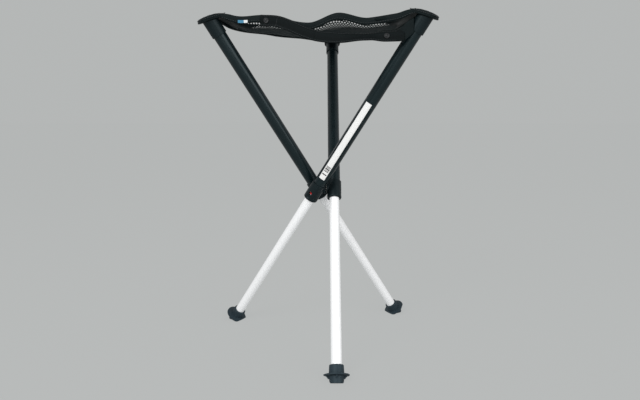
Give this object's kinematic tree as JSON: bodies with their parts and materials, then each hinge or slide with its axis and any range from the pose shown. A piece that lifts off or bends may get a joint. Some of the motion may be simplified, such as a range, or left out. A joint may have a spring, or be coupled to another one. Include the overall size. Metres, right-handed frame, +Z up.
{
  "type": "telescopic tripod stool",
  "caption": "Folding tripod stool: skew tubular legs crossing at a central hub, telescoping silver lower legs with push-button locks, rubber feet and a sagging mesh seat with a strap.",
  "frame": {"origin": "centre of the bounding box on the floor under the stool, which is not the hub's axis", "axes": "+Z up, -Y to the front, where the picture's camera is, +X to the right as seen from the front"},
  "size_m": [0.429, 0.478, 0.653],
  "materials": {
    "moulded_black": "moulded nylon, fine matt texture",
    "nylon": "natural nylon",
    "steel": "turned",
    "steel_dark": "black plated",
    "seat_net": "open polyester net",
    "leatherette": "coated cloth, bound and stitched",
    "webbing": "woven webbing",
    "tube_black": "black anodised aluminium, satin",
    "tube_silver": "silver anodised, satin",
    "foot_rubber": "moulded rubber",
    "button_red": "gloss"
  },
  "bodies": {
    "hub": {"hub_block": "moulded_black", "pivot_pin_right": "steel", "pivot_pin_left": "steel", "pivot_pin_rear": "steel", "thrust_washer_right": "nylon", "thrust_washer_left": "nylon", "thrust_washer_rear": "nylon", "seat_mesh": "seat_net", "seat_hem_front": "leatherette", "seat_hem_right": "leatherette", "seat_hem_left": "leatherette", "carry_strap": "webbing", "strap_tab": "webbing", "strap_snap_left": "steel_dark", "strap_snap_right": "steel_dark"},
    "upper_leg_right": {"upper_tube_right": "tube_black", "joint_sleeve_right": "moulded_black", "seat_collar_right": "moulded_black", "corner_cap_right": "moulded_black", "corner_pocket_right": "leatherette", "corner_rivet_right": "steel_dark"},
    "lower_leg_right": {"lower_tube_right": "tube_silver", "guide_bush_right": "nylon", "foot_right": "foot_rubber", "foot_disc_right": "steel", "button_spring_right": "steel"},
    "button_right": {"lock_button_right": "button_red"},
    "upper_leg_left": {"upper_tube_left": "tube_black", "joint_sleeve_left": "moulded_black", "seat_collar_left": "moulded_black", "corner_cap_left": "moulded_black", "corner_pocket_left": "leatherette", "corner_rivet_left": "steel_dark"},
    "lower_leg_left": {"lower_tube_left": "tube_silver", "guide_bush_left": "nylon", "foot_left": "foot_rubber", "foot_disc_left": "steel", "button_spring_left": "steel"},
    "button_left": {"lock_button_left": "button_red"},
    "upper_leg_rear": {"upper_tube_rear": "tube_black", "joint_sleeve_rear": "moulded_black", "seat_collar_rear": "moulded_black", "corner_cap_rear": "moulded_black", "corner_pocket_rear": "leatherette", "corner_rivet_rear": "steel_dark"},
    "lower_leg_rear": {"lower_tube_rear": "tube_silver", "guide_bush_rear": "nylon", "foot_rear": "foot_rubber", "foot_disc_rear": "steel", "button_spring_rear": "steel"},
    "button_rear": {"lock_button_rear": "button_red"}
  },
  "joints": [
    {"name": "fold_right", "type": "hinge", "parent": "hub", "child": "upper_leg_right", "pos_m": [0, -0.02705, 0.317], "axis": [-0.5, -0.866, 0], "range_deg": [0, 34.76], "deforming": ["seat_mesh", "seat_hem_front", "seat_hem_right", "seat_hem_left", "carry_strap", "strap_tab", "strap_snap_left", "strap_snap_right"]},
    {"name": "fold_left", "type": "hinge", "parent": "hub", "child": "upper_leg_left", "pos_m": [0, 0.01625, 0.317], "axis": [-0.5, 0.866, 0], "range_deg": [0, 34.76]},
    {"name": "fold_rear", "type": "hinge", "parent": "hub", "child": "upper_leg_rear", "pos_m": [0.0375, -0.0054, 0.317], "axis": [1, 0, 0], "range_deg": [0, 34.76]},
    {"name": "telescope_right", "type": "slide", "parent": "upper_leg_right", "child": "lower_leg_right", "axis": [0.4938, -0.2851, 0.8215], "range_m": [0, 0.31]},
    {"name": "telescope_left", "type": "slide", "parent": "upper_leg_left", "child": "lower_leg_left", "axis": [-0.4938, -0.2851, 0.8215], "range_m": [0, 0.31]},
    {"name": "telescope_rear", "type": "slide", "parent": "upper_leg_rear", "child": "lower_leg_rear", "axis": [0, 0.5701, 0.8215], "range_m": [0, 0.31]},
    {"name": "press_right", "type": "slide", "parent": "lower_leg_right", "child": "button_right", "axis": [0.5, 0.866, 0], "range_m": [-0.0024, 0.0015], "stiffness_N_per_m": 400, "springref_m": -0.0024, "deforming": ["button_spring_right"]},
    {"name": "press_left", "type": "slide", "parent": "lower_leg_left", "child": "button_left", "axis": [0.5, -0.866, 0], "range_m": [-0.0024, 0.0015], "stiffness_N_per_m": 400, "springref_m": -0.0024, "deforming": ["button_spring_left"]},
    {"name": "press_rear", "type": "slide", "parent": "lower_leg_rear", "child": "button_rear", "axis": [-1, 0, 0], "range_m": [-0.0024, 0.0015], "stiffness_N_per_m": 400, "springref_m": -0.0024, "deforming": ["button_spring_rear"]}
  ],
  "couplings": [
    {"joint": "fold_left", "follows": "fold_right", "ratio": 1},
    {"joint": "fold_rear", "follows": "fold_right", "ratio": 1}
  ]
}
